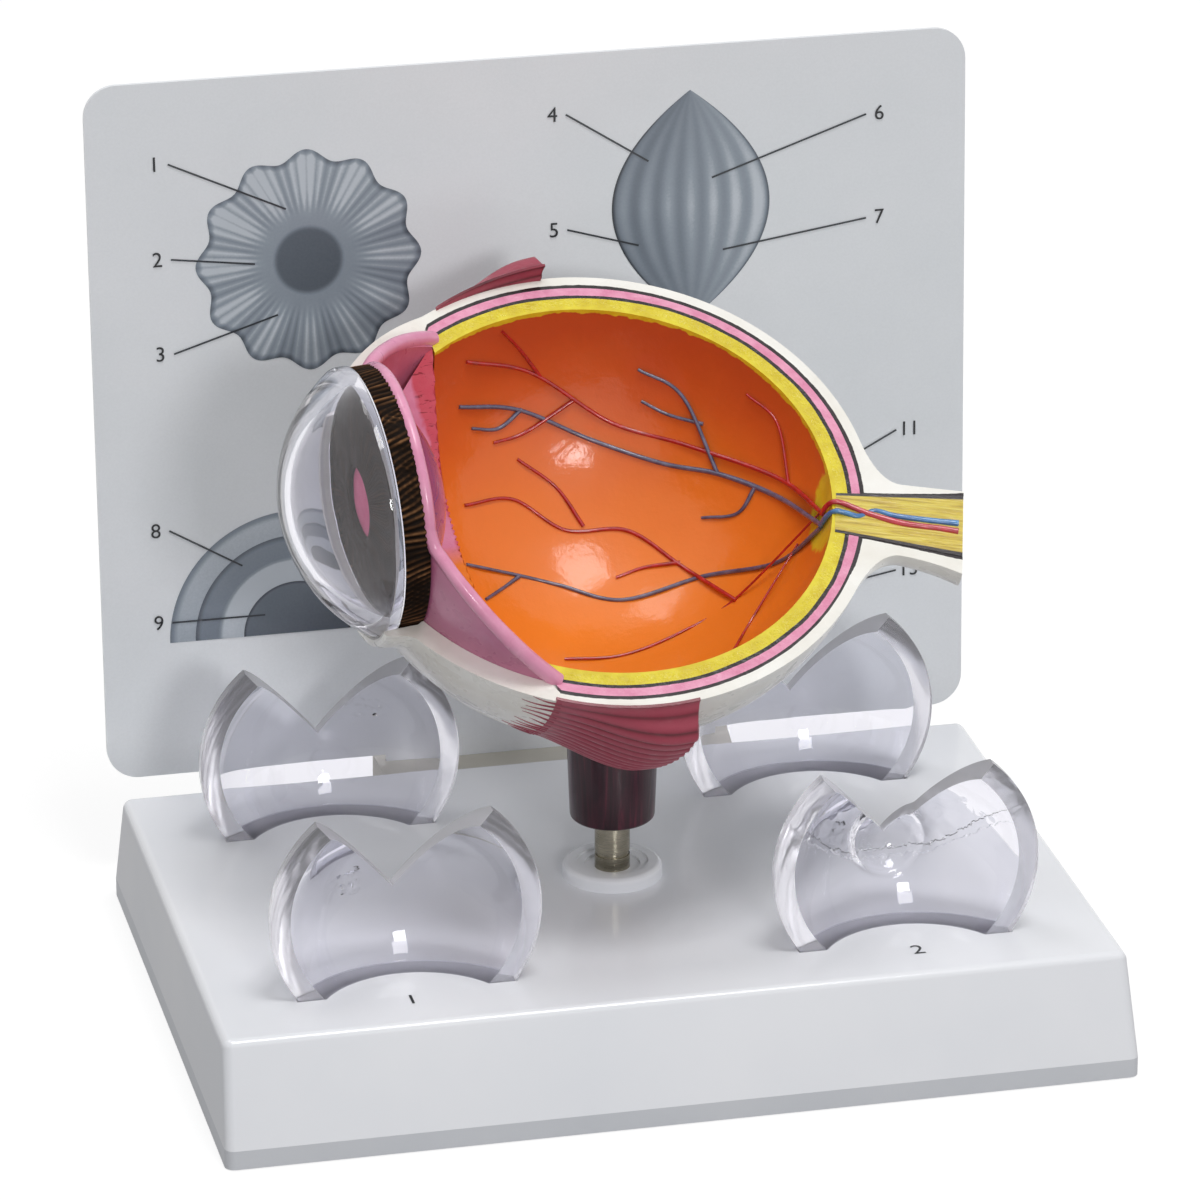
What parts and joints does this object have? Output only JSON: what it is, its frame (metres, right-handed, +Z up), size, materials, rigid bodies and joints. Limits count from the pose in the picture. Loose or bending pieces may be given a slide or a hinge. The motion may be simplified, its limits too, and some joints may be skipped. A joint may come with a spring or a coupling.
{
  "type": "eye anatomy model",
  "caption": "Cutaway model of an eyeball with clear cornea, iris, lens and optic nerve, on a white stand with loose clear corneas and an upright key card behind.",
  "frame": {"origin": "centre of the base's underside, on the rod's axis", "axes": "+X to the right along the base's long side, +Y to the back where the card stands, +Z up"},
  "size_m": [0.1654, 0.1318, 0.1533],
  "materials": {
    "white_plastic": "glossy, moulded",
    "base_band": "glossy, moulded, plain",
    "rod_metal": "nickel plated, finely turned",
    "card": "printed card under a clear film, soft gloss",
    "clear_cornea": "clear, polished, faint lavender edge",
    "sclera_paint": "hand painted warm white, varnished",
    "choroid_paint": "hand painted pink, varnished",
    "retina_paint": "hand painted yellow, varnished",
    "cavity_orange": "hand painted orange, high gloss",
    "pink_wall": "hand painted purple-pink, varnished",
    "ciliary_red": "hand painted red with streaks, varnished",
    "iris_brown": "dark brown, ribbed, varnished",
    "lens_clear": "clear with a purple tint, polished",
    "nerve_yellow": "hand painted yellow, varnished",
    "artery_red": "raised paint, glossy",
    "vein_blue": "raised paint, glossy",
    "muscle_red": "hand painted crimson, grooved, varnished",
    "stem_maroon": "dark maroon, glossy"
  },
  "bodies": {
    "base": {"base_shell": "white_plastic", "base_plate": "base_band", "rod_collar": "white_plastic", "card_holder": "white_plastic"},
    "card": {"key_card": "card"},
    "rod": {"support_rod": "rod_metal", "rod_clip": "rod_metal"},
    "eye": {"sclera": "sclera_paint", "choroid": "choroid_paint", "retina": "retina_paint", "cavity_lining": "cavity_orange", "front_wall": "pink_wall", "ciliary_ring": "ciliary_red", "iris": "iris_brown", "lens": "lens_clear", "cornea_dome": "clear_cornea", "nerve_core": "nerve_yellow", "nerve_artery": "artery_red", "nerve_vein": "vein_blue", "retinal_arteries": "artery_red", "retinal_veins": "vein_blue", "muscle_far": "muscle_red", "muscle_near": "muscle_red", "stem": "stem_maroon"},
    "loose_cornea_front_left": {"cornea_front_left": "clear_cornea"},
    "loose_cornea_front_right": {"cornea_front_right": "clear_cornea"},
    "loose_cornea_back_left": {"cornea_back_left": "clear_cornea"},
    "loose_cornea_back_right": {"cornea_back_right": "clear_cornea"}
  },
  "joints": [
    {"name": "card_lift", "type": "slide", "parent": "base", "child": "card", "axis": [0, 0.0454, 0.999], "range_m": [0, 0.015]},
    {"name": "rod_turn", "type": "hinge", "parent": "base", "child": "rod", "pos_m": [0, 0, 0.0241], "axis": [0, 0, 1], "continuous": true},
    {"name": "eye_lift", "type": "slide", "parent": "rod", "child": "eye", "axis": [0, 0, 1], "range_m": [0, 0.016]},
    {"name": "cornea_front_left_lift", "type": "slide", "parent": "base", "child": "loose_cornea_front_left", "axis": [0, 0, 1], "range_m": [0, 0.008]},
    {"name": "cornea_front_right_lift", "type": "slide", "parent": "base", "child": "loose_cornea_front_right", "axis": [0, 0, 1], "range_m": [0, 0.008]},
    {"name": "cornea_back_left_lift", "type": "slide", "parent": "base", "child": "loose_cornea_back_left", "axis": [0, 0, 1], "range_m": [0, 0.008]},
    {"name": "cornea_back_right_lift", "type": "slide", "parent": "base", "child": "loose_cornea_back_right", "axis": [0, 0, 1], "range_m": [0, 0.008]}
  ]
}
